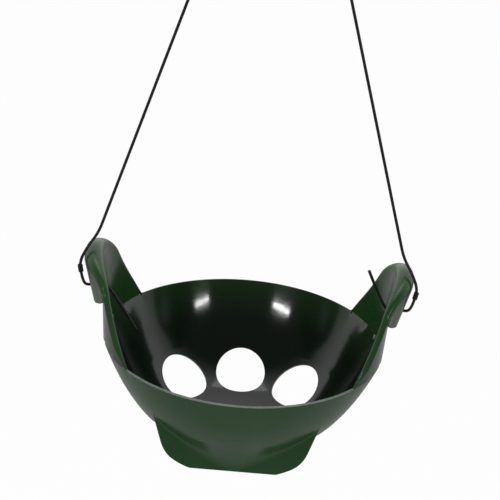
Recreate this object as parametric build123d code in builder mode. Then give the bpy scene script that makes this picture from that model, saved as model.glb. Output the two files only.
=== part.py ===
"""Bowl-shaped hanging toddler seat: a one-piece moulded shell hung by two cords from two ceiling eyes.

The origin is in the ceiling plane, midway between the two eye plates. X runs from ear to ear,
-Y is the front, where the tongue hangs, and +Z is up. Lengths are in millimetres.
"""

from build123d import *
from math import atan2, cos, degrees, pi, radians, sin
import os

# Shell: heights are measured from the rim plane, radii from the vertical axis of the bowl.
rim_drop = 510.0            # ceiling plane down to the rim plane
wall = 3.0
rim_radius = 170.0
collar_radius = 150.0       # foot of the straight upper wall
collar_depth = 44.0
hip_radius = 92.0           # where the side curve meets the floor curve
hip_depth = 109.0
floor_radius = 35.0         # flat middle of the floor
floor_depth = 124.8

hole_count = 8              # places on the ring; the front one stays closed
hole_radius = 31.8
hole_reach = 18.0           # half the depth of the cut for each hole
hole_ring_radius = 104.6    # middle of each big hole, on the outside of the wall
hole_ring_depth = 101.7
hole_tilt = 34.0            # slope of the wall at the holes, in degrees

gate_radius = 12.0          # shallow disc in the middle of the floor
gate_height = 0.8

# Ears: the wall runs up from the rim, rolls outward over the top and comes down again as a flap.
ear_lean = 3.7              # degrees outward
ear_height = 99.7           # middle of the roll above the rim
roll_radius = 8.6           # hollow side of the roll
flap_lean = 15.0            # degrees inward
flap_length = 54.0
ear_root_half_width = 103.0
ear_side_lean = 27.0        # degrees, of each side edge of the ear
ear_top = 112.1
notch_radius = 6.0
flap_half_width = 60.0
flap_corner_height = 64.0
flap_bottom_height = 43.5
flap_corner_radius = 12.0
channel_radius = 178.6      # between the ear wall and the flap

# Tongue under the front of the bowl.
tongue_front = 101.0
tongue_thickness = 3.2
tongue_bottom = 127.0
tongue_top = 58.0
tongue_top_half_width = 99.0
tongue_bottom_half_width = 78.0
tongue_corner_radius = 30.0

# Cords and what holds them.
cord_diameter = 3.6
cord_hole_radius = 2.6
cord_hole_height = 57.0
knot_bore_gap = 0.05
stopper_radius = 4.4
stopper_clearance = 1.3
wrap_radius = 3.4
wrap_length = 9.0
wrap_bore_gap = 0.5
top_knot_radius = 6.4
top_knot_length = 14.0
loop_neck = 19.0            # rod middle down to the top of the top knot
loop_knot_gap = 0.7
loop_half_width = 4.7
loop_neck_half_width = 1.95
loop_shoulder = 9.0
loop_corner_radius = 4.4
loop_neck_radius = 12.0

# Ceiling fittings.
eye_half_spacing = 75.0
eye_rod_radius = 2.5
eye_inner_radius = 8.0
eye_leg = 7.9               # straight leg from the ring's middle to the plate
plate_thickness = 3.0
plate_length = 58.0
plate_width = 22.0
plate_corner = 8.0
screw_half_spacing = 20.0
screw_hole_radius = 2.5
screw_head_radius = 4.8

reach = 500.0               # longer than anything that is cut through
ring_height = -plate_thickness - eye_leg
rod_height = ring_height - eye_inner_radius - eye_rod_radius

# Outside of the bowl from the flat of the floor up to the straight upper wall.
bowl_curve = [(floor_radius, -floor_depth), (hip_radius, -hip_depth),
              (collar_radius, -collar_depth)]
bowl_steps = 6              # spans of the inner bowl curve
bowl_curve_ends = [(1, 0), (rim_radius - collar_radius, collar_depth)]

rim_frame = Plane(origin=(0, 0, -rim_drop), x_dir=(1, 0, 0), z_dir=(0, -1, 0))
side_frame = Plane(origin=(0, 0, -rim_drop), x_dir=(0, 1, 0), z_dir=(1, 0, 0))


def left_normal(curve, where):
    along = curve % where
    return Vector(-along.Y, along.X)


def wall_side(curve, where):
    return curve @ where + left_normal(curve, where) * wall


def rim_corner(below, above):
    lower, upper = left_normal(below, 1), left_normal(above, 0)
    return below @ 1 + (lower + upper) * (wall / (1 + lower.dot(upper)))


def save(piece, name):
    piece.part.label = name
    export_step(piece.part, f"parts/{name}.step")


os.makedirs("parts", exist_ok=True)

# The bowl filled up to its outside, which trims the tongue.
with BuildPart() as bowl_core:
    with BuildSketch(rim_frame):
        with BuildLine():
            Polyline((collar_radius, -collar_depth), (rim_radius, 0), (0, 0), (0, -floor_depth),
                     (floor_radius, -floor_depth))
            Spline(bowl_curve, tangents=bowl_curve_ends)
        make_face()
    revolve(axis=Axis.Z)

# What is cut away beside and below the flaps, outside the ear walls.
with BuildPart() as flap_surround:
    with BuildSketch(rim_frame):
        with BuildLine():
            Polyline((channel_radius, 0), (channel_radius + reach, 0),
                     (channel_radius + reach, ear_height - roll_radius),
                     (channel_radius, ear_height - roll_radius), close=True)
        make_face()
    revolve(axis=Axis.Z)
    with BuildSketch(side_frame) as beside_flap:
        Rectangle(2 * reach, 2 * reach)
        with BuildSketch(mode=Mode.PRIVATE) as flap_outline:
            with BuildLine():
                Polyline((flap_half_width, flap_corner_height), (flap_half_width, reach),
                         (-flap_half_width, reach), (-flap_half_width, flap_corner_height))
                ThreePointArc((-flap_half_width, flap_corner_height), (0, flap_bottom_height),
                              (flap_half_width, flap_corner_height))
            make_face()
            fillet(flap_outline.vertices().group_by(Axis.Y)[0], flap_corner_radius)
        add(flap_outline.sketch, mode=Mode.SUBTRACT)
    extrude(amount=reach, both=True, mode=Mode.INTERSECT)

# Tongue, trimmed to the outside of the bowl.
with BuildPart() as tongue:
    with BuildSketch(rim_frame.offset(tongue_front)):
        with BuildLine():
            Polyline((tongue_top_half_width, -tongue_top), (-tongue_top_half_width, -tongue_top),
                     (-tongue_bottom_half_width, -tongue_bottom),
                     (tongue_bottom_half_width, -tongue_bottom), close=True)
        make_face()
        fillet(vertices().group_by(Axis.Z)[0], tongue_corner_radius)
    extrude(amount=-tongue_thickness)
    add(bowl_core.part, mode=Mode.SUBTRACT)

with BuildPart() as seat_shell:
    # Bowl, ears, rolls and flaps as one wall of even thickness.
    with BuildSketch(rim_frame):
        with BuildLine():
            floor = Line((0, -floor_depth), (floor_radius, -floor_depth))
            bowl = Spline(bowl_curve, tangents=bowl_curve_ends)
            collar = Line((collar_radius, -collar_depth), (rim_radius, 0))
            ear_wall = Line((rim_radius, 0),
                            (rim_radius + ear_height * sin(radians(ear_lean)),
                             ear_height * cos(radians(ear_lean))))
            roll = JernArc(ear_wall @ 1, ear_wall % 1, roll_radius, ear_lean - flap_lean - 180)
            flap = PolarLine(roll @ 1, flap_length, direction=roll % 1)
            # The same line again on the other side of the wall.
            Line(wall_side(floor, 0), wall_side(floor, 1))
            Spline([wall_side(bowl, i / bowl_steps) for i in range(bowl_steps + 1)],
                   tangents=bowl_curve_ends)
            Line(wall_side(collar, 0), rim_corner(collar, ear_wall))
            Line(rim_corner(collar, ear_wall), wall_side(ear_wall, 1))
            JernArc(wall_side(ear_wall, 1), ear_wall % 1, roll_radius + wall,
                    ear_lean - flap_lean - 180)
            Line(wall_side(flap, 0), wall_side(flap, 1))
            Line(wall_side(flap, 1), flap @ 1)
            Line(floor @ 0, wall_side(floor, 0))
        make_face()
    revolve(axis=Axis.Z)
    with BuildSketch(rim_frame):
        with Locations((gate_radius / 2, wall - floor_depth + gate_height / 2)):
            Rectangle(gate_radius, gate_height)
    revolve(axis=Axis.Z)
    # Everything above the rim except the two ears.
    ear_arc_radius = ((ear_root_half_width * cos(radians(ear_side_lean))
                       - ear_top * sin(radians(ear_side_lean))) / (1 - sin(radians(ear_side_lean))))
    shoulder_y = ear_arc_radius * cos(radians(ear_side_lean))
    shoulder_z = ear_top - ear_arc_radius + ear_arc_radius * sin(radians(ear_side_lean))
    with BuildSketch(side_frame) as above_rim:
        with BuildLine():
            Polyline((-shoulder_y, shoulder_z), (-ear_root_half_width, 0), (-reach, 0),
                     (-reach, reach), (reach, reach), (reach, 0), (ear_root_half_width, 0),
                     (shoulder_y, shoulder_z))
            ThreePointArc((shoulder_y, shoulder_z), (0, ear_top), (-shoulder_y, shoulder_z))
        make_face()
        roots = [v for v in above_rim.vertices() if abs(abs(v.Y) - ear_root_half_width) < wall
                 and abs(v.Z + rim_drop) < wall]
        fillet(roots, notch_radius)
    extrude(amount=reach, both=True, mode=Mode.SUBTRACT)
    add(flap_surround.part, mode=Mode.SUBTRACT)
    # Big round holes, square to the wall. The tongue takes the place of the one at the front.
    for i in range(1, hole_count):
        turn = i * 2 * pi / hole_count - pi / 2
        across = Plane(
            origin=(hole_ring_radius * cos(turn), hole_ring_radius * sin(turn),
                    -rim_drop - hole_ring_depth),
            z_dir=(-sin(radians(hole_tilt)) * cos(turn), -sin(radians(hole_tilt)) * sin(turn),
                   cos(radians(hole_tilt))))
        with BuildSketch(across):
            Circle(hole_radius)
        extrude(amount=hole_reach, both=True, mode=Mode.SUBTRACT)
    # Cord holes through both walls of each ear.
    with BuildSketch(Plane.YZ):
        with Locations((0, cord_hole_height - rim_drop)):
            Circle(cord_hole_radius)
    extrude(amount=reach, both=True, mode=Mode.SUBTRACT)
    add(tongue.part)
save(seat_shell, "seat_shell")


# Hollow sides of the ear wall and the flap at the height of the cord holes.
flap_top = roll @ 1
ear_outside = rim_radius + cord_hole_height * sin(radians(ear_lean)) / cos(radians(ear_lean))
flap_inside = flap_top.X - ((flap_top.Y - cord_hole_height) * sin(radians(flap_lean))
                            / cos(radians(flap_lean)))
stopper_middle = (ear_outside + flap_inside) / 2
stopper_length = flap_inside - ear_outside - 2 * stopper_clearance

# Each cord runs from its top knot over the roll of the ear, outside the flap, in through both
# walls, and ends bare inside the bowl.
cord_rise = [(84.5, 0.0, -53.3), (182.0, -3.0, -382.0), (193.4, -20.0, -395.2),
             (201.2, -24.0, -412.5), (198.6, -21.0, -430.5), (196.2, -13.0, -444.0),
             (193.6, -4.0, -451.5), (188.8, 0.0, -453.0), (165.6, 0.0, -453.0)]
cord_radii = [20.0, 16.0, 12.0, 18.0, 18.0, 6.0, 4.0, 4.6]
tail_down = (131.0, 0.0, -508.5)
tail_up = (143.0, 0.0, -404.0)


def cord_points(side, tail):
    return [(side * x, y, z) for x, y, z in cord_rise + [tail]]


for side, name, tail in ((-1, "left", tail_down), (1, "right", tail_up)):
    eye = Vector(side * eye_half_spacing, 0, rod_height)
    cord_top = Vector(side * cord_rise[0][0], 0, cord_rise[0][2])
    pull = (cord_top - eye).normalized()
    # Loop frame: x across the loop, y up the cord, at the middle of the eye's rod.
    loop_frame = Plane(origin=eye, x_dir=(-pull.Z, 0, pull.X), z_dir=(0, -1, 0))

    with BuildPart() as plate:
        with BuildSketch(Plane.XY.offset(-plate_thickness)):
            with Locations((side * eye_half_spacing, 0)):
                RectangleRounded(plate_width, plate_length, plate_corner)
        extrude(amount=plate_thickness)
        with Locations(Plane(origin=(side * eye_half_spacing, 0, -plate_thickness),
                             z_dir=(0, 0, -1))):
            with GridLocations(0, 2 * screw_half_spacing, 1, 2):
                CounterSinkHole(screw_hole_radius, screw_head_radius)
    save(plate, f"{name}_ceiling_plate")

    with BuildPart() as staple:
        ring_arm = eye_inner_radius + eye_rod_radius
        eye_plane = Plane(origin=(side * eye_half_spacing, 0, ring_height), x_dir=(0, 1, 0),
                          z_dir=(1, 0, 0))
        with BuildLine(eye_plane) as staple_line:
            Line((-ring_arm, eye_leg), (-ring_arm, 0))
            ThreePointArc((-ring_arm, 0), (0, -ring_arm), (ring_arm, 0))
            Line((ring_arm, 0), (ring_arm, eye_leg))
        with BuildSketch(Plane(origin=staple_line.line @ 0, z_dir=staple_line.line % 0)):
            Circle(eye_rod_radius)
        sweep()
    save(staple, f"{name}_ceiling_eye")

    with BuildPart() as top_loop:
        with BuildLine(loop_frame) as loop_line:
            FilletPolyline((-loop_neck_half_width, loop_knot_gap - loop_neck),
                           (-loop_half_width, -loop_shoulder),
                           (-loop_half_width, loop_half_width), (loop_half_width, loop_half_width),
                           (loop_half_width, -loop_shoulder),
                           (loop_neck_half_width, loop_knot_gap - loop_neck),
                           radius=[loop_neck_radius, loop_corner_radius, loop_corner_radius,
                                   loop_neck_radius])
        with BuildSketch(Plane(origin=loop_line.line @ 0, z_dir=loop_line.line % 0)):
            Circle(cord_diameter / 2)
        sweep()
    save(top_loop, f"{name}_top_loop")

    with BuildPart() as top_knot:
        with BuildSketch(loop_frame):
            with BuildLine():
                Line((0, -loop_neck - top_knot_length), (0, -loop_neck))
                Line((0, -loop_neck), (top_knot_radius / 2, -loop_neck))
                ThreePointArc((top_knot_radius / 2, -loop_neck),
                              (top_knot_radius, -loop_neck - top_knot_length / 2),
                              (top_knot_radius / 2, -loop_neck - top_knot_length))
                Line((top_knot_radius / 2, -loop_neck - top_knot_length),
                     (0, -loop_neck - top_knot_length))
            make_face()
        revolve(axis=Axis(eye, pull))
    save(top_knot, f"{name}_top_knot")

    points = cord_points(side, tail)
    with BuildPart() as cord:
        with BuildLine() as cord_line:
            FilletPolyline(*points, radius=cord_radii)
        with BuildSketch(Plane(origin=cord_line.line @ 0, z_dir=cord_line.line % 0)):
            Circle(cord_diameter / 2)
        sweep()
    save(cord, f"{name}_cord")
    section = pi * cord_diameter ** 2 / 4
    cord_length = sum(edge.length for edge in cord_line.edges())
    print(name, "cord length", round(cord_length, 1), "radii", cord_radii,
          "volume over section x length", round(cord.part.volume / section / cord_length, 4))

    with BuildPart() as stopper:
        with BuildSketch(Plane(origin=(side * stopper_middle, 0, cord_hole_height - rim_drop),
                               x_dir=(1, 0, 0), z_dir=(0, -1, 0))):
            with BuildLine():
                half = stopper_length / 2
                bore = cord_diameter / 2 + knot_bore_gap
                shoulder = (bore + stopper_radius) / 2
                Polyline((half, shoulder), (half, bore), (-half, bore), (-half, shoulder))
                Spline((-half, shoulder), (0, stopper_radius), (half, shoulder))
            make_face()
        revolve(axis=Axis((0, 0, cord_hole_height - rim_drop), (1, 0, 0)))
    save(stopper, f"{name}_stopper_knot")

    # The wrap sits on the straight stretch of cord just below the roll.
    wrap_start, wrap_end = Vector(points[3]), Vector(points[4])
    along = (wrap_end - wrap_start).normalized()
    wrap_middle = (wrap_start + wrap_end) / 2
    with BuildPart() as wrap:
        with BuildSketch(Plane(origin=wrap_middle - along * wrap_length / 2, z_dir=along)):
            Circle(wrap_radius)
            Circle(cord_diameter / 2 + wrap_bore_gap, mode=Mode.SUBTRACT)
        extrude(amount=wrap_length)
    save(wrap, f"{name}_cord_wrap")
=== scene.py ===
import bpy, bmesh
from math import atan2, cos, degrees, pi, radians, sin, sqrt, tan
from mathutils import Matrix, Vector
from mathutils.geometry import interpolate_bezier


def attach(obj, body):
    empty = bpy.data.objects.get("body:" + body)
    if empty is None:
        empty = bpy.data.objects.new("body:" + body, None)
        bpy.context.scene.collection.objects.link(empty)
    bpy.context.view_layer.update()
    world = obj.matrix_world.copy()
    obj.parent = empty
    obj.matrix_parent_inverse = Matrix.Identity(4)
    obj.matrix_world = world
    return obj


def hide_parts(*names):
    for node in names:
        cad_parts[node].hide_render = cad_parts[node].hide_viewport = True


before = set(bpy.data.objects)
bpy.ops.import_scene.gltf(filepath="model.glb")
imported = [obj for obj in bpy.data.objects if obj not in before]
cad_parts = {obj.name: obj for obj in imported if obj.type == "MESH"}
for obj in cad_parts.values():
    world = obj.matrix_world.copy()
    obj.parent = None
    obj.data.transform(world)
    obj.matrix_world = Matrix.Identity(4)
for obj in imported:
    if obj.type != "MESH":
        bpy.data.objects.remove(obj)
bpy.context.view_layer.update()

rim_drop = 510.0


# ---------------------------------------------------------------- camera

def add_camera():
    pitch, roll = radians(-24.63), radians(4.8)
    right = Vector((1, 0, 0))
    ahead = Vector((0, cos(pitch), sin(pitch)))
    up = Vector((0, -sin(pitch), cos(pitch)))
    across = cos(roll) * right + sin(roll) * up
    upward = -sin(roll) * right + cos(roll) * up
    turn = Matrix((across, upward, -ahead)).transposed()
    lens = bpy.data.cameras.new("camera")
    lens.sensor_width = 36
    lens.lens = 147.8
    lens.clip_end = 50
    camera = bpy.data.objects.new("camera", lens)
    camera.matrix_world = Matrix.Translation((-0.0009, -2.225, 0.630)) @ turn.to_4x4()
    bpy.context.scene.collection.objects.link(camera)
    bpy.context.scene.camera = camera


add_camera()
bpy.context.scene.view_settings.view_transform = "Standard"


# ---------------------------------------------------------------- material nodes

class Value:
    """A node socket that can be written in sums."""

    def __init__(self, tree, socket):
        self.tree, self.socket = tree, socket

    def maths(self, operation, other, swap=False):
        node = self.tree.nodes.new("ShaderNodeMath")
        node.operation = operation
        for slot, given in zip(node.inputs, (other, self) if swap else (self, other)):
            if isinstance(given, Value):
                self.tree.links.new(given.socket, slot)
            elif given is not None:
                slot.default_value = given
        return Value(self.tree, node.outputs[0])

    def __add__(self, other): return self.maths("ADD", other)
    def __radd__(self, other): return self.maths("ADD", other, True)
    def __sub__(self, other): return self.maths("SUBTRACT", other)
    def __rsub__(self, other): return self.maths("SUBTRACT", other, True)
    def __mul__(self, other): return self.maths("MULTIPLY", other)
    def __gt__(self, other): return self.maths("GREATER_THAN", other)


class Finish:
    """A material whose nodes come from one method."""

    def __init__(self, name):
        self.material = bpy.data.materials.new(name)
        self.material.use_nodes = True
        self.tree = self.material.node_tree
        self.shader = self.tree.nodes["Principled BSDF"]
        self.place = self.node("ShaderNodeTexCoord", out="Object")

    def node(self, kind, settings=(), out=0, stops=(), **sockets):
        node = self.tree.nodes.new(kind)
        for key, value in dict(settings).items():
            setattr(node, key, value)
        if stops:
            ramp = node.color_ramp.elements
            while len(ramp) < len(stops):
                ramp.new(0.5)
            for stop, (where, colour) in zip(ramp, stops):
                stop.position, stop.color = where, colour
        for key, value in sockets.items():
            socket = node.inputs[key.replace("_", " ")]
            if isinstance(value, Value):
                self.tree.links.new(value.socket, socket)
            else:
                socket.default_value = value
        return Value(self.tree, node.outputs[out])

    def noise(self, scale, detail=3.0, rough=0.55, out="Fac"):
        return self.node("ShaderNodeTexNoise", out=out, Vector=self.place, Scale=scale,
                         Detail=detail, Roughness=rough)

    def shades(self, mask, dark, light):
        return self.node("ShaderNodeValToRGB", Fac=mask,
                         stops=((0.3, (*dark, 1)), (0.7, (*light, 1))))

    def bump(self, height, strength, distance):
        return self.node("ShaderNodeBump", out="Normal", Height=height, Strength=strength,
                         Distance=distance)

    def set(self, **sockets):
        for key, value in sockets.items():
            socket = self.shader.inputs[key.replace("_", " ")]
            if isinstance(value, Value):
                self.tree.links.new(value.socket, socket)
            else:
                socket.default_value = value
        return self.material


def moulded_plastic():
    """Outside of the moulding: deep green with a soft sheen."""
    f = Finish("moulded_green_plastic")
    cloud = f.noise(9.0)
    haze = f.noise(55.0, 4.0)
    scuffs = f.noise(420.0, 2.0)
    return f.set(Base_Color=f.shades(cloud, (0.017, 0.060, 0.016), (0.024, 0.073, 0.023)),
                 Roughness=0.17 + haze * 0.10 + (scuffs > 0.72) * 0.12,
                 Normal=f.bump(haze + scuffs * 0.15, 0.04, 0.002), IOR=1.46)


def inside_plastic_painted_shade():
    """Inside of the moulding: the same green plastic with painted shade, near black in the bowl,
    green again up the ears.
    """
    f = Finish("dark_inside_painted_shade")
    split = f.node("ShaderNodeSeparateXYZ", out="Z", Vector=f.place)
    # painted shade: by height, near black from 90 mm below the rim, green from 60 mm above it
    height = f.node("ShaderNodeMapRange", Value=split, From_Min=-0.60, From_Max=-0.45)
    haze = f.noise(55.0, 4.0)
    scuffs = f.noise(420.0, 2.0)
    return f.set(Base_Color=f.shades(height, (0.006, 0.011, 0.007), (0.017, 0.045, 0.015)),
                 Roughness=0.07 + haze * 0.06 + (scuffs > 0.72) * 0.12,
                 Normal=f.bump(haze + scuffs * 0.15, 0.035, 0.002), IOR=1.52)


def edge_finish_painted_highlight():
    """The cut edge of the moulding, duller than its faces and paler with a painted highlight along
    the rim.
    """
    f = Finish("rim_edge_painted_highlight")
    nicks = f.noise(260.0, 4.0)
    # painted highlight: pale base colour on the rim and ear edges, where the light catches them
    return f.set(Base_Color=f.shades(nicks, (0.110, 0.145, 0.105), (0.200, 0.245, 0.195)),
                 Roughness=0.30 + nicks * 0.2, Normal=f.bump(nicks, 0.15, 0.0006), IOR=1.46)


def black_braid():
    f = Finish("black_cord_braid")
    weave = f.node("ShaderNodeTexWave", {"wave_type": "BANDS", "bands_direction": "DIAGONAL"},
                   out="Fac", Vector=f.place, Scale=300.0, Distortion=0.6, Detail=1.0)
    fuzz = f.noise(1500.0)
    return f.set(Base_Color=f.shades(fuzz, (0.004, 0.004, 0.004), (0.014, 0.014, 0.014)),
                 Roughness=0.55 + fuzz * 0.3,
                 Normal=f.bump(weave + fuzz * 0.5, 0.5, 0.0006), Sheen_Weight=0.15)


def plated_steel():
    f = Finish("zinc_plated_steel")
    grain = f.noise(180.0, 5.0)
    patches = f.noise(28.0)
    return f.set(Base_Color=f.shades(patches, (0.50, 0.50, 0.49), (0.64, 0.64, 0.62)),
                 Metallic=1.0, Roughness=0.26 + grain * 0.2,
                 Normal=f.bump(grain, 0.12, 0.0008))


plastic = moulded_plastic()
# the inside finish carries painted shade in the bowl
inner_finish_painted_shade = inside_plastic_painted_shade()
pale_edge_painted_highlight = edge_finish_painted_highlight()
braid = black_braid()
steel = plated_steel()


# ---------------------------------------------------------------- pieces

def finish_piece(name, bm, material, body, replaces=(), smooth=True):
    """Turn a mesh drawn in millimetres, with heights from the rim, into a piece."""
    bmesh.ops.transform(bm, verts=bm.verts,
                        matrix=Matrix.Scale(0.001, 4) @ Matrix.Translation((0, 0, -rim_drop)))
    mesh = bpy.data.meshes.new(name)
    bm.to_mesh(mesh)
    bm.free()
    if smooth:
        mesh.shade_smooth()
    piece = bpy.data.objects.new(name, mesh)
    bpy.context.scene.collection.objects.link(piece)
    mesh.materials.append(material)
    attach(piece, body)
    if replaces:
        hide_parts(*replaces)
    return piece


def thicken(piece, thickness, inside, offset=0.0, edge=0.8, levels=1):
    wall = piece.modifiers.new("wall", "SOLIDIFY")
    wall.thickness, wall.offset = thickness / 1000, offset
    # the rim faces take the edge finish with its painted highlight
    piece.data.materials.append(inside)
    piece.data.materials.append(pale_edge_painted_highlight)
    wall.material_offset, wall.material_offset_rim = 1, 2
    round_edges(piece, edge, levels)


def round_edges(piece, edge, levels=0):
    bevel = piece.modifiers.new("edges", "BEVEL")
    bevel.width, bevel.segments, bevel.limit_method = edge / 1000, 2, "ANGLE"
    bevel.angle_limit = radians(50)
    if levels:
        soft = piece.modifiers.new("smooth", "SUBSURF")
        soft.levels = soft.render_levels = levels


# ---------------------------------------------------------------- shell

wall = 3.0
ear_lean = tan(radians(3.7))
flap_lean = tan(radians(15.0))
sector_half = 22.5
cells = 18                       # across one sector and up each side of a hole
hole_radius = 31.8
hole_reach = 38.0                # from a hole's middle to the edge of its patch
outline_radius = 74.9            # dome of the ear
outline_middle = 37.2
cord_hole_radius = 2.6
cord_hole_height = 57.0
corner_angle = 45.0


def bowl_outside():
    """Outside of the bowl from the flat floor to the rim, as radius and height."""
    points = [Vector((0, -124.8)), Vector((35, -124.8)), Vector((92, -109)), Vector((150, -44)),
              Vector((170, 0))]
    ways = [Vector((1, 0)), Vector((cos(radians(30.2)), sin(radians(30.2)))),
            Vector((cos(radians(61.5)), sin(radians(61.5)))),
            Vector((cos(radians(70)), sin(radians(70))))]
    line = [points[0], points[1]]
    for i in (1, 2, 3):
        chord = (points[i + 1] - points[i]).length / 3
        line += interpolate_bezier(points[i], points[i] + ways[i - 1] * chord,
                                   points[i + 1] - ways[i] * chord, points[i + 1], 24)[1:]
    return [Vector((p[0], p[1])) for p in line]


outside = bowl_outside()


def walk(line):
    lengths = [0.0]
    for a, b in zip(line, line[1:]):
        lengths.append(lengths[-1] + (b - a).length)
    return lengths


def middle_line():
    """The middle of the wall: the outside moved in by half the wall."""
    line = []
    for i, p in enumerate(outside):
        along = (outside[min(i + 1, len(outside) - 1)] - outside[max(i - 1, 0)]).normalized()
        if i == 0:
            along = Vector((1, 0))
        line.append(p + Vector((-along.y, along.x)) * wall / 2)
    line[-1].y = 0.0
    return line


middle = middle_line()
middle_walk = walk(middle)
wall_end = middle_walk[-1]


def on_line(line, lengths, s):
    for a, b, start, end in zip(line, line[1:], lengths, lengths[1:]):
        if s <= end or end == lengths[-1]:
            return a.lerp(b, (s - start) / (end - start))


def walk_to_radius(radius):
    for i, (a, b) in enumerate(zip(middle, middle[1:])):
        if b.x >= radius:
            return middle_walk[i] + (middle_walk[i + 1] - middle_walk[i]) \
                * (radius - a.x) / (b.x - a.x)


hole_walk = walk_to_radius(103.8)
patch_start, patch_end = hole_walk - hole_reach, hole_walk + hole_reach


def bowl_point(azimuth, s):
    p = on_line(middle, middle_walk, s)
    return Vector((p.x * cos(radians(azimuth)), p.x * sin(radians(azimuth)), p.y))


def ear_radius(z):
    return middle[-1].x + z * ear_lean


def ear_point(side, y, z, out):
    radius = ear_radius(z) + out
    return Vector((side * sqrt(max(radius * radius - y * y, 1.0)), y, z))


def ease(t):
    t = max(0.0, min(1.0, t))
    return t * t * (3 - 2 * t)


def roll_radius(turn):
    """Radius of the turned-out edge, by the angle round the dome from its top."""
    return 3.2 + 6.9 * ease((58 - abs(turn)) / 44)


def outline(turn):
    """Middle line of the ear's wall where the edge starts to turn out, as (y, z)."""
    inset = roll_radius(turn) + wall / 2
    way = Vector((sin(radians(turn)), cos(radians(turn))))
    return Vector((0, outline_middle)) + way * (outline_radius - inset), way


def side_edge(v, sign):
    """The same for the side edge, v from the rim (0) to the corner of the dome (1)."""
    lean = 63.0
    foot = Vector((ear_radius(0) * sin(radians(37.5)), 0))
    dome_foot, way = outline(lean)
    top_share = 0.76
    if v <= top_share:
        t = v / top_share
        p = foot.lerp(dome_foot, t)
        turn = lean
    else:
        turn = lean + (corner_angle - lean) * (v - top_share) / (1 - top_share)
        p, way = outline(turn)
    return Vector((sign * p.x, p.y)), Vector((sign * way.x, way.y)), sign * turn


def ear_place(u, v):
    """A point of the ear's wall as (y, z): u across from -1 to 1, v up from 0 to 1."""
    edge = side_edge(v, 1)[0]
    corner = side_edge(1, 1)[0]
    top = outline(corner_angle * u)[0]
    if v == 0:
        return Vector((ear_radius(0) * sin(radians(37.5 * u)), 0))
    across = Vector((edge.x * (u + (sin(radians(37.5 * u)) / sin(radians(37.5)) - u) * (1 - v)),
                     edge.y))
    return across + (top - Vector((u * corner.x, corner.y))) * v * v


def flap_end(turn):
    y = 58.5 * max(-1.0, min(1.0, turn / 50.0))
    return Vector((y, 142.0 - sqrt(98.0 ** 2 - y * y)))


def edge_section(start, way, turn, rows, height):
    """Points from the ear's edge round the roll and down the flap, or just the narrow flange."""
    grow = ease(height / 22.0)
    share = ease((60 - abs(turn)) / 13.0)
    radius = roll_radius(turn) * grow + 0.25
    bend = radians(90 + 101.5 * share)
    section = []
    bend_rows = 10
    for i in range(1, bend_rows + 1):
        a = bend * i / bend_rows
        section.append((start + way * radius * sin(a), radius * (1 - cos(a))))
    last, out = section[-1]
    flange = (last, out + 3.0 * grow + 0.2)
    target = flap_end(turn)
    flap = (target, out - (flap_lean - ear_lean) * abs(last.y - target.y))
    end = flange[0].lerp(flap[0], share)
    end_out = flange[1] + (flap[1] - flange[1]) * share
    for i in range(1, rows - bend_rows + 1):
        t = i / (rows - bend_rows)
        section.append((last.lerp(end, t), out + (end_out - out) * t))
    return section


def add_sector(bm, azimuth, hole):
    if not hole:
        made = bmesh.ops.create_grid(bm, x_segments=cells, y_segments=cells, size=1)["verts"]
        for v in made:
            v.co = bowl_point(azimuth + sector_half * v.co.x, hole_walk + hole_reach * v.co.y)
        return
    ring = bmesh.ops.create_circle(bm, segments=4 * cells, radius=1)["verts"]
    edges = list({e for v in ring for e in v.link_edges})
    steps = 5
    rings = [ring]
    for i in range(steps):
        made = bmesh.ops.extrude_edge_only(bm, edges=edges)["geom"]
        rings.append([g for g in made if isinstance(g, bmesh.types.BMVert)])
        edges = [g for g in made if isinstance(g, bmesh.types.BMEdge)
                 and all(v in set(rings[-1]) for v in g.verts)]
    for i, verts in enumerate(rings):
        share = i / steps
        for v in verts:
            turn = degrees(atan2(v.co.y, v.co.x))
            quarter = round(turn / 90) * 90
            slide = (turn - quarter) / 45
            square = Matrix.Rotation(radians(quarter), 2) @ Vector((1, slide))
            s = hole_walk + hole_radius * sin(radians(turn))
            circle_turn = hole_radius * cos(radians(turn)) / on_line(middle, middle_walk, s).x
            a = degrees(circle_turn) * (1 - share) + sector_half * square.x * share
            v.co = bowl_point(azimuth + a, s * (1 - share)
                              + (hole_walk + hole_reach * square.y) * share)


def add_band(bm, start, end, rows, columns=8 * cells):
    made = bmesh.ops.create_grid(bm, x_segments=columns, y_segments=rows, size=1)["verts"]
    for v in made:
        v.co = bowl_point(180 * v.co.x + sector_half, (start + end) / 2
                          + (end - start) / 2 * v.co.y)
    return made


def open_hole(bm, side, out_of):
    """Open a round hole for the cord at the grid point nearest to where the cord passes."""
    near = ear_point(side, 0, cord_hole_height, out_of(cord_hole_height))
    middle_vert = min(bm.verts, key=lambda v: (v.co - near).length)
    ring = {v for f in middle_vert.link_faces for v in f.verts} - {middle_vert}
    for v in ring:
        turn = atan2(v.co.z - middle_vert.co.z, v.co.y - middle_vert.co.y)
        spot = Vector((cord_hole_radius * cos(turn),
                       cord_hole_height + cord_hole_radius * sin(turn)))
        v.co = ear_point(side, spot.x, spot.y, out_of(spot.y))
    bmesh.ops.delete(bm, geom=[middle_vert], context="VERTS")


def flap_out(z):
    """How far the flap's middle stands outside the ear's middle at a height."""
    radius = roll_radius(0) + 0.25
    roll_end = outline(0)[0].y - radius * 0.2
    return 1.98 * radius - (flap_lean - ear_lean) * (roll_end - z)


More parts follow.
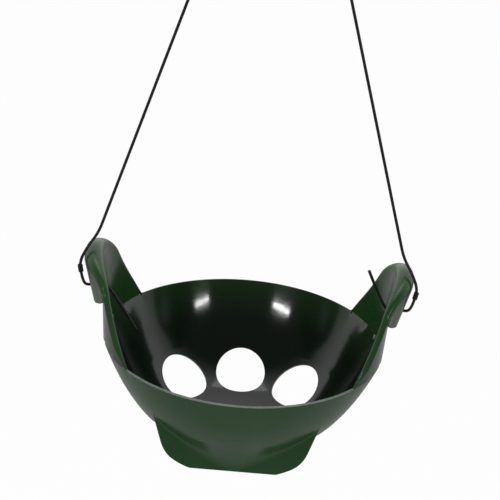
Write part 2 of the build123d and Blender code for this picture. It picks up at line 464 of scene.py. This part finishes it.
def add_ear(bm, side):
    columns, rows, edge_rows = 36, 16, 17
    grid = bmesh.ops.create_grid(bm, x_segments=columns, y_segments=rows, size=1)["verts"]
    edges = [e for e in {e for v in grid for e in v.link_edges} if e.is_boundary
             and not all(v.co.y < -0.999 for v in e.verts)]
    facts = {}
    for v in grid:
        u, share = round(v.co.x * columns / 2) * 2 / columns, (v.co.y + 1) / 2
        share = round(share * rows) / rows
        if abs(u) == 1:
            facts[(round(u, 4), round(share, 4))] = side_edge(share, u)
        elif share == 1:
            turn = corner_angle * u
            p, way = outline(turn)
            facts[(round(u, 4), round(share, 4))] = (p, way, turn)
    ring = edges
    rings = []
    for i in range(edge_rows):
        made = bmesh.ops.extrude_edge_only(bm, edges=ring)["geom"]
        verts = [g for g in made if isinstance(g, bmesh.types.BMVert)]
        known = set(verts)
        ring = [g for g in made if isinstance(g, bmesh.types.BMEdge)
                and all(v in known for v in g.verts)]
        rings.append(verts)
    for i, verts in enumerate(rings):
        for v in verts:
            key = (round(round(v.co.x * columns / 2) * 2 / columns, 4),
                   round(round((v.co.y + 1) / 2 * rows) / rows, 4))
            start, way, turn = facts[key]
            spot, out = edge_section(start, way, turn, edge_rows, start.y)[i]
            v.co = ear_point(side, spot.x, spot.y, out)
    for v in grid:
        spot = ear_place(round(v.co.x * columns / 2) * 2 / columns,
                         round((v.co.y + 1) / 2 * rows) / rows)
        v.co = ear_point(side, spot.x, spot.y, 0)
    open_hole(bm, side, lambda z: 0)
    open_hole(bm, side, flap_out)


def build_shell():
    bm = bmesh.new()
    for i in range(8):
        add_sector(bm, -90 + 45 * i, i != 0)
    add_band(bm, 14.0, patch_start, 9)
    add_band(bm, patch_end, wall_end, 5)
    centre = bmesh.ops.create_circle(bm, segments=8 * cells, radius=14.0, cap_ends=True)["verts"]
    for v in centre:
        v.co.z = middle[0].y
    for side in (-1, 1):
        add_ear(bm, side)
    bmesh.ops.remove_doubles(bm, verts=bm.verts, dist=0.05)
    bmesh.ops.recalc_face_normals(bm, faces=bm.faces)
    shell = finish_piece("swing_shell", bm, plastic, "seat", ["seat_shell"])
    # the inner faces take the finish with painted shade in the bowl
    thicken(shell, wall, inner_finish_painted_shade)
    return shell


def bowl_height(radius):
    for a, b in zip(outside, outside[1:]):
        if b.x >= radius:
            return a.y + (b.y - a.y) * (radius - a.x) / (b.x - a.x)
    return 0.0


def tongue_half_width(z):
    width = 99.0 - (-58.0 - z) * 21.0 / 69.0
    low = max(0.0, -97.0 - z)
    return width - (30.0 - sqrt(max(0.0, 900.0 - low * low)))


def build_tongue():
    """The front tongue, which leaves the bowl in a soft hollow curve."""
    front, bottom = -101.0, -126.6
    rows, curve_rows = 16, 9
    bm = bmesh.new()
    made = bmesh.ops.create_grid(bm, x_segments=36, y_segments=rows, size=1)["verts"]
    for v in made:
        u, row = v.co.x, round((1 - v.co.y) / 2 * rows)
        x = u * 92.0
        for _ in range(6):
            z = bowl_height(sqrt(x * x + front * front))
            x = u * tongue_half_width(max(z, -100.0))
        blend = ease((0.86 - abs(u)) / 0.86)
        top_y = front - 4.0 - 34.0 * blend
        top_z = bowl_height(sqrt(x * x + top_y * top_y))
        fall = bowl_height(sqrt(x * x + (top_y - 1) ** 2)) - top_z
        foot = Vector((front, max(z - 4.0 - 18.0 * blend, bottom + 1.5)))
        top = Vector((top_y, top_z + 0.25))
        reach = (top - foot).length * (0.42 - 0.07 * blend)
        leave = Vector((1, -fall)).normalized() * reach
        if row <= curve_rows:
            t = row / curve_rows
            spot = top * (1 - t) ** 3 + (top + leave) * 3 * t * (1 - t) ** 2 \
                + (foot + Vector((0, reach * (1 - 0.55 * blend)))) * 3 * t * t * (1 - t) \
                + foot * t ** 3
        else:
            t = (row - curve_rows) / (rows - curve_rows)
            spot = foot.lerp(Vector((front, bottom)), t)
        here = u * tongue_half_width(spot.y) if row > 0 else x
        v.co = Vector((x + (here - x) * min(1.0, row / curve_rows), spot.x, spot.y))
    bmesh.ops.recalc_face_normals(bm, faces=bm.faces)
    if sum(f.normal.y for f in bm.faces) > 0:
        bmesh.ops.reverse_faces(bm, faces=bm.faces)
    tongue = finish_piece("front_tongue", bm, plastic, "seat", ())
    thicken(tongue, 2.6, plastic, -1.0)
    return tongue


def build_floor_disc():
    bm = bmesh.new()
    disc = bmesh.ops.create_cone(bm, segments=72, radius1=12.2, radius2=11.6, depth=1.0,
                                 cap_ends=True)
    bmesh.ops.translate(bm, verts=disc["verts"], vec=(0, 0, -121.5))
    bmesh.ops.bevel(bm, geom=[e for e in bm.edges if len(e.link_faces) == 2
                              and e.calc_face_angle() > 0.5],
                    offset=0.3, segments=2, profile=0.5, affect="EDGES", material=-1)
    return finish_piece("floor_disc", bm, plastic, "seat", (), smooth=False)


build_shell()
build_tongue()
build_floor_disc()


# ---------------------------------------------------------------- cords

cord_diameter = 0.0036
cord_route = [(0.0845, 0.0, -0.0533), (0.0920, -0.0002, -0.0786), (0.1757, -0.0028, -0.3609),
              (0.1820, -0.0030, -0.3820), (0.1934, -0.0200, -0.3952), (0.2012, -0.0240, -0.4125),
              (0.1986, -0.0210, -0.4305), (0.1962, -0.0130, -0.4440), (0.1936, -0.0040, -0.4515),
              (0.1888, 0.0, -0.4530), (0.1740, 0.0, -0.4530), (0.1656, 0.0, -0.4530)]
tails = {"left": (0.1310, 0.0, -0.5085), "right": (0.1430, 0.0, -0.4040)}


def nurbs_curve(name, points, width):
    curve = bpy.data.curves.new(name, "CURVE")
    curve.dimensions = "3D"
    spline = curve.splines.new("NURBS")
    spline.points.add(len(points) - 1)
    for spot, point in zip(spline.points, points):
        spot.co = (*point, 1)
    spline.order_u = 3
    spline.use_endpoint_u = True
    curve.resolution_u = 20
    curve.bevel_depth = width / 2
    curve.bevel_resolution = 6
    curve.use_fill_caps = True
    piece = bpy.data.objects.new(name, curve)
    bpy.context.scene.collection.objects.link(piece)
    return piece


def wound(name, start, end, core, twine, turns, material, cad, swell=0.0):
    """Cord wound round a line between two points: a small circle carried along a helix."""
    axis = end - start
    along = axis.normalized()
    side = along.cross(Vector((0, 1, 0))).normalized()
    other = along.cross(side)
    bm = bmesh.new()
    steps = int(turns * 28)
    previous = bmesh.ops.create_circle(bm, segments=12, radius=twine / 2, cap_ends=True)["verts"]
    loop = [e for e in {e for v in previous for e in v.link_edges}]

    def frame_at(t):
        turn = 2 * pi * turns * t
        radius = core + swell * sin(pi * t)
        out = side * cos(turn) + other * sin(turn)
        spot = start + axis * t + out * radius
        pitch = axis / (2 * pi * turns)
        way = ((-side * sin(turn) + other * cos(turn)) * radius + pitch).normalized()
        return Matrix.Translation(spot) @ Matrix((out, way.cross(out), way)).transposed().to_4x4()

    place = frame_at(0)
    bmesh.ops.transform(bm, verts=previous, matrix=place)
    for i in range(1, steps + 1):
        made = bmesh.ops.extrude_edge_only(bm, edges=loop)["geom"]
        fresh = [g for g in made if isinstance(g, bmesh.types.BMVert)]
        place, last = frame_at(i / steps), frame_at((i - 1) / steps)
        move = place @ last.inverted()
        bmesh.ops.transform(bm, verts=fresh, matrix=move)
        known = set(fresh)
        loop = [g for g in made if isinstance(g, bmesh.types.BMEdge)
                and all(v in known for v in g.verts)]
    bmesh.ops.holes_fill(bm, edges=bm.edges, sides=12)
    bmesh.ops.recalc_face_normals(bm, faces=bm.faces)
    bmesh.ops.transform(bm, verts=bm.verts,
                        matrix=Matrix.Translation((0, 0, rim_drop)) @ Matrix.Scale(1000, 4))
    return finish_piece(name, bm, material, "suspension", cad)


for side, name in ((-1, "left"), (1, "right")):
    route = [Vector((side * x, y, z)) for x, y, z in cord_route + [tails[name]]]
    eye = Vector((side * 0.075, 0, -0.0214))
    pull = (route[0] - eye).normalized()
    across = Vector((-pull.z, 0, pull.x))

    def down(distance, offset=0.0, lift=0.0):
        return eye + pull * distance + across * offset + Vector((0, lift, 0))

    loop = nurbs_curve(f"{name}_top_loop_cord",
                       [down(0.0196, -0.0019), down(0.0130, -0.0042), down(0.006, -0.0052),
                        down(-0.0046, -0.0053), down(-0.0054, 0.0), down(-0.0046, 0.0053),
                        down(0.006, 0.0052), down(0.0130, 0.0042), down(0.0196, 0.0019)],
                       cord_diameter)
    knot = wound(f"{name}_tied_top_knot", down(0.0212), down(0.0312), 0.0043, 0.0034, 3.2, braid,
                 [f"{name}_top_knot"], 0.0003)
    heart = wound(f"{name}_top_knot_heart", down(0.0196), down(0.0332), 0.0010, 0.0034, 2.0,
                  braid, ())
    stop_a = Vector((side * 0.17545, 0, -0.453))
    stop_b = Vector((side * 0.18035, 0, -0.453))
    stopper = wound(f"{name}_tied_stopper", stop_a, stop_b, 0.0031, 0.0024, 2.0, braid,
                    [f"{name}_stopper_knot"])
    wrap_a = Vector((side * 0.20055, -0.02326, -0.4169))
    wrap_b = Vector((side * 0.1992, -0.02172, -0.4262))
    whipping = wound(f"{name}_twine_wrap", wrap_a, wrap_b, 0.0024, 0.0014, 9.0, braid,
                     [f"{name}_cord_wrap"])
    cord = nurbs_curve(f"{name}_hanging_cord", route, cord_diameter)
    for piece, node in ((loop, f"{name}_top_loop"), (cord, f"{name}_cord")):
        piece.data.materials.append(braid)
        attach(piece, "suspension")
        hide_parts(node)


# ---------------------------------------------------------------- ceiling fittings

def build_screw(name, x, y):
    """Countersunk screw head with a cross slot, seen from below."""
    bm = bmesh.new()
    head = bmesh.ops.create_cone(bm, segments=48, radius1=4.5, radius2=2.4, depth=2.2,
                                 cap_ends=True)
    bmesh.ops.translate(bm, verts=head["verts"], vec=(0, 0, -1.8))
    bmesh.ops.bevel(bm, geom=[e for e in bm.edges if len(e.link_faces) == 2
                              and e.calc_face_angle() > 0.5],
                    offset=0.25, segments=2, profile=0.5, affect="EDGES", material=-1)
    for turn in (0, pi / 2):
        bar = bmesh.ops.create_cube(bm, size=1)
        bmesh.ops.scale(bm, verts=bar["verts"], vec=(4.6, 0.8, 0.4))
        bmesh.ops.rotate(bm, verts=bar["verts"], matrix=Matrix.Rotation(turn, 3, "Z"))
        bmesh.ops.translate(bm, verts=bar["verts"], vec=(0, 0, -2.85))
    bmesh.ops.translate(bm, verts=bm.verts, vec=(x, y, rim_drop))
    return finish_piece(name, bm, steel, "ceiling_fittings", (), smooth=False)


for side, name in ((-1, "left"), (1, "right")):
    for kind in ("plate", "eye"):
        node = bpy.data.objects[f"{name}_ceiling_{kind}"]
        node.material_slots[0].material = steel
    for i, y in enumerate((-20, 20)):
        build_screw(f"{name}_screw_{i + 1}", side * 75.0, y)


# ---------------------------------------------------------------- floor, world and lamps

def smooth_range(tree, socket, source, target):
    """Carry one span of numbers onto another, easing at both ends."""
    node = tree.nodes.new("ShaderNodeMapRange")
    node.interpolation_type = "SMOOTHSTEP"
    for name, value in zip(("From Min", "From Max", "To Min", "To Max"), source + target):
        node.inputs[name].default_value = value
    tree.links.new(socket, node.inputs["Value"])
    return Value(tree, node.outputs[0])


def build_floor():
    bm = bmesh.new()
    bmesh.ops.create_grid(bm, x_segments=1, y_segments=1, size=14.0)
    bmesh.ops.translate(bm, verts=bm.verts, vec=(0, 0, -1.15))
    mesh = bpy.data.meshes.new("floor")
    bm.to_mesh(mesh)
    bm.free()
    floor = bpy.data.objects.new("floor", mesh)
    bpy.context.scene.collection.objects.link(floor)
    material = bpy.data.materials.new("pale_floor")
    material.use_nodes = True
    tree = material.node_tree
    tree.nodes.clear()
    out = tree.nodes.new("ShaderNodeOutputMaterial")
    matte = tree.nodes.new("ShaderNodeBsdfDiffuse")
    matte.inputs["Color"].default_value = (0.86, 0.86, 0.86, 1)
    glow = tree.nodes.new("ShaderNodeEmission")
    glow.inputs["Color"].default_value = (1, 1, 1, 1)
    mix = tree.nodes.new("ShaderNodeMixShader")
    rays = tree.nodes.new("ShaderNodeLightPath")
    camera = Value(tree, rays.outputs["Is Camera Ray"])
    gloss = Value(tree, rays.outputs["Is Glossy Ray"])
    place = tree.nodes.new("ShaderNodeTexCoord")
    split = tree.nodes.new("ShaderNodeSeparateXYZ")
    tree.links.new(place.outputs["Object"], split.inputs[0])
    ahead = smooth_range(tree, split.outputs["Y"], (-1.5, -0.2), (0.07, 0.34))
    strength = camera + gloss * ahead
    tree.links.new(strength.socket, glow.inputs["Strength"])
    seen = (camera + gloss) * 0.97
    tree.links.new(seen.socket, mix.inputs[0])
    tree.links.new(matte.outputs[0], mix.inputs[1])
    tree.links.new(glow.outputs[0], mix.inputs[2])
    tree.links.new(mix.outputs[0], out.inputs[0])
    mesh.materials.append(material)


def build_world():
    world = bpy.data.worlds.new("studio")
    bpy.context.scene.world = world
    world.use_nodes = True
    tree = world.node_tree
    tree.nodes.clear()
    out = tree.nodes.new("ShaderNodeOutputWorld")
    sky = tree.nodes.new("ShaderNodeBackground")
    sky.inputs["Color"].default_value = (1, 1, 1, 1)
    rays = tree.nodes.new("ShaderNodeLightPath")
    seen = (Value(tree, rays.outputs["Is Camera Ray"]) + Value(tree, rays.outputs["Is Glossy Ray"])
            + Value(tree, rays.outputs["Is Transmission Ray"])) > 0.5
    place = tree.nodes.new("ShaderNodeTexCoord")
    split = tree.nodes.new("ShaderNodeSeparateXYZ")
    tree.links.new(place.outputs["Generated"], split.inputs[0])
    behind = smooth_range(tree, split.outputs["Y"], (-0.35, 0.25), (0.06, 1.0))
    camera = Value(tree, rays.outputs["Is Camera Ray"])
    gloss = (Value(tree, rays.outputs["Is Glossy Ray"])
             + Value(tree, rays.outputs["Is Transmission Ray"])) > 0.5
    strength = camera + gloss * behind + (1 - seen) * 0.5
    tree.links.new(strength.socket, sky.inputs["Strength"])
    tree.links.new(sky.outputs[0], out.inputs[0])


def add_lamp(name, place, target, size, power):
    light = bpy.data.lights.new(name, "AREA")
    light.shape = "RECTANGLE"
    light.size, light.size_y = size
    light.energy = power
    lamp = bpy.data.objects.new(name, light)
    aim = (Vector(target) - Vector(place)).to_track_quat("-Z", "Y")
    lamp.matrix_world = Matrix.Translation(place) @ aim.to_matrix().to_4x4()
    bpy.context.scene.collection.objects.link(lamp)


lamp_target = (0, 0, -0.55)
build_floor()
build_world()
add_lamp("left_softbox", (-1.27, -1.90, 0.52), lamp_target, (0.66, 0.05), 7)
add_lamp("right_softbox", (1.62, -1.80, 0.50), lamp_target, (0.56, 0.05), 4.5)
add_lamp("overhead_softbox", (0, 0.2, 2.2), lamp_target, (1.6, 1.2), 10)
